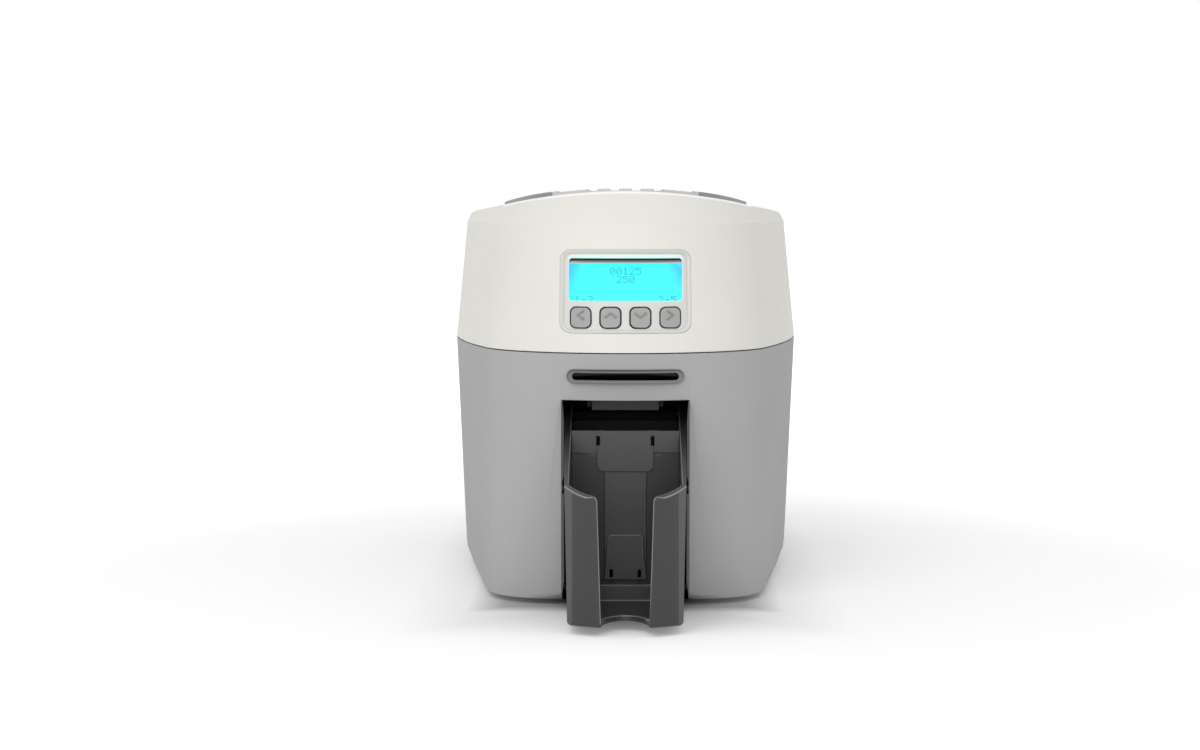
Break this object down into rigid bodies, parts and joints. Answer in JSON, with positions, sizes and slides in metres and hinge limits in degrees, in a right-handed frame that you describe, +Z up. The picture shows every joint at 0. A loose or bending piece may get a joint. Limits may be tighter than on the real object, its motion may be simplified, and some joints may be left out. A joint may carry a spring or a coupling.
{
  "type": "id card printer",
  "caption": "Desktop plastic card printer with a hinged lid, LCD and buttons, hand feed slot, smoked output bin, roller gear train, ribbon spools and thermal head.",
  "frame": {"origin": "centre of the footprint, on the surface that the printer stands on", "axes": "+X to the right seen from the front, +Y to the back, +Z up"},
  "size_m": [0.2078, 0.45, 0.227],
  "materials": {
    "casing_grey": "fine texture",
    "lid_white": "fine texture",
    "bezel_white": "satin",
    "panel_grey": "satin",
    "key_grey": "satin",
    "smoked_plastic": "glossy",
    "dark_plastic": "satin",
    "black_plastic": "satin",
    "liner_plastic": "satin",
    "white_plastic": "satin",
    "rubber": "matte",
    "steel_sheet": "zinc plated",
    "steel_rod": "ground",
    "brass": "machined",
    "motor_black": "satin",
    "board_green": "solder mask",
    "lcd_cyan": "backlit glass",
    "film_yellow": "dye film",
    "film_violet": "used dye film",
    "film_amber": "dye film",
    "cleaner_blue": "tacky",
    "aluminium": "extruded",
    "ceramic": "glazed"
  },
  "bodies": {
    "base": {"base_casing": "casing_grey", "base_pan": "steel_sheet", "rubber_feet": "rubber", "hopper_bay": "dark_plastic", "feed_throat": "dark_plastic", "chassis_left": "steel_sheet", "chassis_right": "steel_sheet", "chassis_deck": "steel_sheet", "tie_bars": "steel_rod", "roller_bushes": "white_plastic", "card_guides": "dark_plastic", "drive_motor": "motor_black", "ribbon_motor": "motor_black", "mainboard": "board_green", "power_supply": "steel_sheet", "power_inlet": "black_plastic", "data_ports": "steel_sheet", "fan_frame": "black_plastic", "ribbon_film": "film_amber", "hinge_pins": "steel_rod"},
    "platen": {"platen_rubber": "rubber", "platen_shaft": "steel_rod", "platen_gear": "white_plastic"},
    "exit_roller": {"exit_rubber": "rubber", "exit_shaft": "steel_rod", "exit_gear": "white_plastic"},
    "feed_roller": {"feed_rubber": "rubber", "feed_shaft": "steel_rod", "feed_gear": "white_plastic"},
    "front_idler": {"idler_front": "white_plastic"},
    "rear_idler": {"idler_rear": "white_plastic"},
    "drive_pinion": {"motor_pinion": "brass"},
    "front_pinch": {"pinch_front": "rubber"},
    "rear_pinch": {"pinch_rear": "rubber"},
    "cleaner": {"cleaning_roller": "cleaner_blue"},
    "supply": {"supply_spool": "white_plastic", "supply_film": "film_yellow"},
    "take_up": {"take_up_spool": "white_plastic", "take_up_film": "film_violet"},
    "take_up_drive": {"ribbon_pinion": "white_plastic"},
    "fan": {"fan_rotor": "black_plastic"},
    "power_switch": {"power_rocker": "black_plastic"},
    "bin": {"card_bin": "smoked_plastic", "bin_stop": "smoked_plastic"},
    "flap": {"exit_flap": "smoked_plastic"},
    "lid": {"lid_cover": "lid_white", "top_panel": "panel_grey", "control_bezel": "bezel_white", "lcd_panel": "lcd_cyan", "control_board": "board_green", "lid_liner": "liner_plastic", "head_carrier": "steel_sheet"},
    "head": {"print_head": "aluminium", "head_edge": "ceramic"},
    "latch": {"latch_bar": "steel_sheet"},
    "release": {"release_button": "panel_grey"},
    "key_left": {"button_left": "key_grey"},
    "key_up": {"button_up": "key_grey"},
    "key_down": {"button_down": "key_grey"},
    "key_right": {"button_right": "key_grey"}
  },
  "joints": [
    {"name": "lid_hinge", "type": "hinge", "parent": "base", "child": "lid", "pos_m": [0, 0.218, 0.139], "axis": [-1, 0, 0], "range_deg": [0, 65]},
    {"name": "platen_spin", "type": "hinge", "parent": "base", "child": "platen", "pos_m": [0, 0.008, 0.095], "axis": [1, 0, 0], "continuous": true},
    {"name": "exit_spin", "type": "hinge", "parent": "base", "child": "exit_roller", "pos_m": [0, -0.056, 0.095], "axis": [1, 0, 0], "continuous": true},
    {"name": "feed_spin", "type": "hinge", "parent": "base", "child": "feed_roller", "pos_m": [0, 0.072, 0.095], "axis": [1, 0, 0], "continuous": true},
    {"name": "front_idler_spin", "type": "hinge", "parent": "base", "child": "front_idler", "pos_m": [-0.0475, -0.024, 0.095], "axis": [1, 0, 0], "continuous": true},
    {"name": "rear_idler_spin", "type": "hinge", "parent": "base", "child": "rear_idler", "pos_m": [-0.0475, 0.04, 0.095], "axis": [1, 0, 0], "continuous": true},
    {"name": "drive_pinion_spin", "type": "hinge", "parent": "base", "child": "drive_pinion", "pos_m": [-0.0475, -0.024, 0.069], "axis": [1, 0, 0], "continuous": true},
    {"name": "front_pinch_spin", "type": "hinge", "parent": "base", "child": "front_pinch", "pos_m": [0, -0.056, 0.1069], "axis": [1, 0, 0], "continuous": true},
    {"name": "rear_pinch_spin", "type": "hinge", "parent": "base", "child": "rear_pinch", "pos_m": [0, 0.072, 0.1069], "axis": [1, 0, 0], "continuous": true},
    {"name": "cleaner_spin", "type": "hinge", "parent": "base", "child": "cleaner", "pos_m": [0, -0.03, 0.1089], "axis": [1, 0, 0], "continuous": true},
    {"name": "supply_spin", "type": "hinge", "parent": "base", "child": "supply", "pos_m": [0, 0.075, 0.14], "axis": [1, 0, 0], "continuous": true},
    {"name": "take_up_spin", "type": "hinge", "parent": "base", "child": "take_up", "pos_m": [0, -0.05, 0.14], "axis": [1, 0, 0], "continuous": true},
    {"name": "take_up_drive_spin", "type": "hinge", "parent": "base", "child": "take_up_drive", "pos_m": [0.0475, -0.05, 0.116], "axis": [1, 0, 0], "continuous": true},
    {"name": "fan_spin", "type": "hinge", "parent": "base", "child": "fan", "pos_m": [0, 0.2155, 0.08], "axis": [0, 1, 0], "continuous": true},
    {"name": "power_rocker_tilt", "type": "hinge", "parent": "base", "child": "power_switch", "pos_m": [-0.034, 0.2188, 0.038], "axis": [1, 0, 0], "range_deg": [0, 12]},
    {"name": "bin_slide", "type": "slide", "parent": "base", "child": "bin", "axis": [0, -1, 0], "range_m": [0, 0.033]},
    {"name": "flap_swing", "type": "hinge", "parent": "base", "child": "flap", "pos_m": [0, -0.116, 0.1113], "axis": [-1, 0, 0], "range_deg": [0, 55]},
    {"name": "head_pivot", "type": "hinge", "parent": "lid", "child": "head", "pos_m": [0, 0.034, 0.124], "axis": [-1, 0, 0], "range_deg": [0, 3], "stiffness_Nm_per_rad": 4, "springref_deg": -2.86},
    {"name": "latch_turn", "type": "hinge", "parent": "lid", "child": "latch", "pos_m": [0, -0.095, 0.15], "axis": [1, 0, 0], "range_deg": [0, 12.8]},
    {"name": "release_lift", "type": "slide", "parent": "lid", "child": "release", "axis": [0, 0, 1], "range_m": [0, 0.003]},
    {"name": "press_left", "type": "slide", "parent": "lid", "child": "key_left", "axis": [0, 1, 0], "range_m": [0, 0.0012], "stiffness_N_per_m": 350, "springref_m": -0.0005},
    {"name": "press_up", "type": "slide", "parent": "lid", "child": "key_up", "axis": [0, 1, 0], "range_m": [0, 0.0012], "stiffness_N_per_m": 350, "springref_m": -0.0005},
    {"name": "press_down", "type": "slide", "parent": "lid", "child": "key_down", "axis": [0, 1, 0], "range_m": [0, 0.0012], "stiffness_N_per_m": 350, "springref_m": -0.0005},
    {"name": "press_right", "type": "slide", "parent": "lid", "child": "key_right", "axis": [0, 1, 0], "range_m": [0, 0.0012], "stiffness_N_per_m": 350, "springref_m": -0.0005}
  ],
  "couplings": [
    {"joint": "front_idler_spin", "follows": "platen_spin", "ratio": -0.6},
    {"joint": "rear_idler_spin", "follows": "platen_spin", "ratio": -0.6},
    {"joint": "exit_spin", "follows": "platen_spin", "ratio": 1},
    {"joint": "feed_spin", "follows": "platen_spin", "ratio": 1},
    {"joint": "drive_pinion_spin", "follows": "platen_spin", "ratio": 2},
    {"joint": "front_pinch_spin", "follows": "platen_spin", "ratio": -1.75},
    {"joint": "rear_pinch_spin", "follows": "platen_spin", "ratio": -1.75},
    {"joint": "cleaner_spin", "follows": "platen_spin", "ratio": -1.1667},
    {"joint": "supply_spin", "follows": "take_up_spin", "ratio": 0.65},
    {"joint": "take_up_drive_spin", "follows": "take_up_spin", "ratio": -3},
    {"joint": "latch_turn", "follows": "release_lift", "rad_per_m": 74.4}
  ]
}
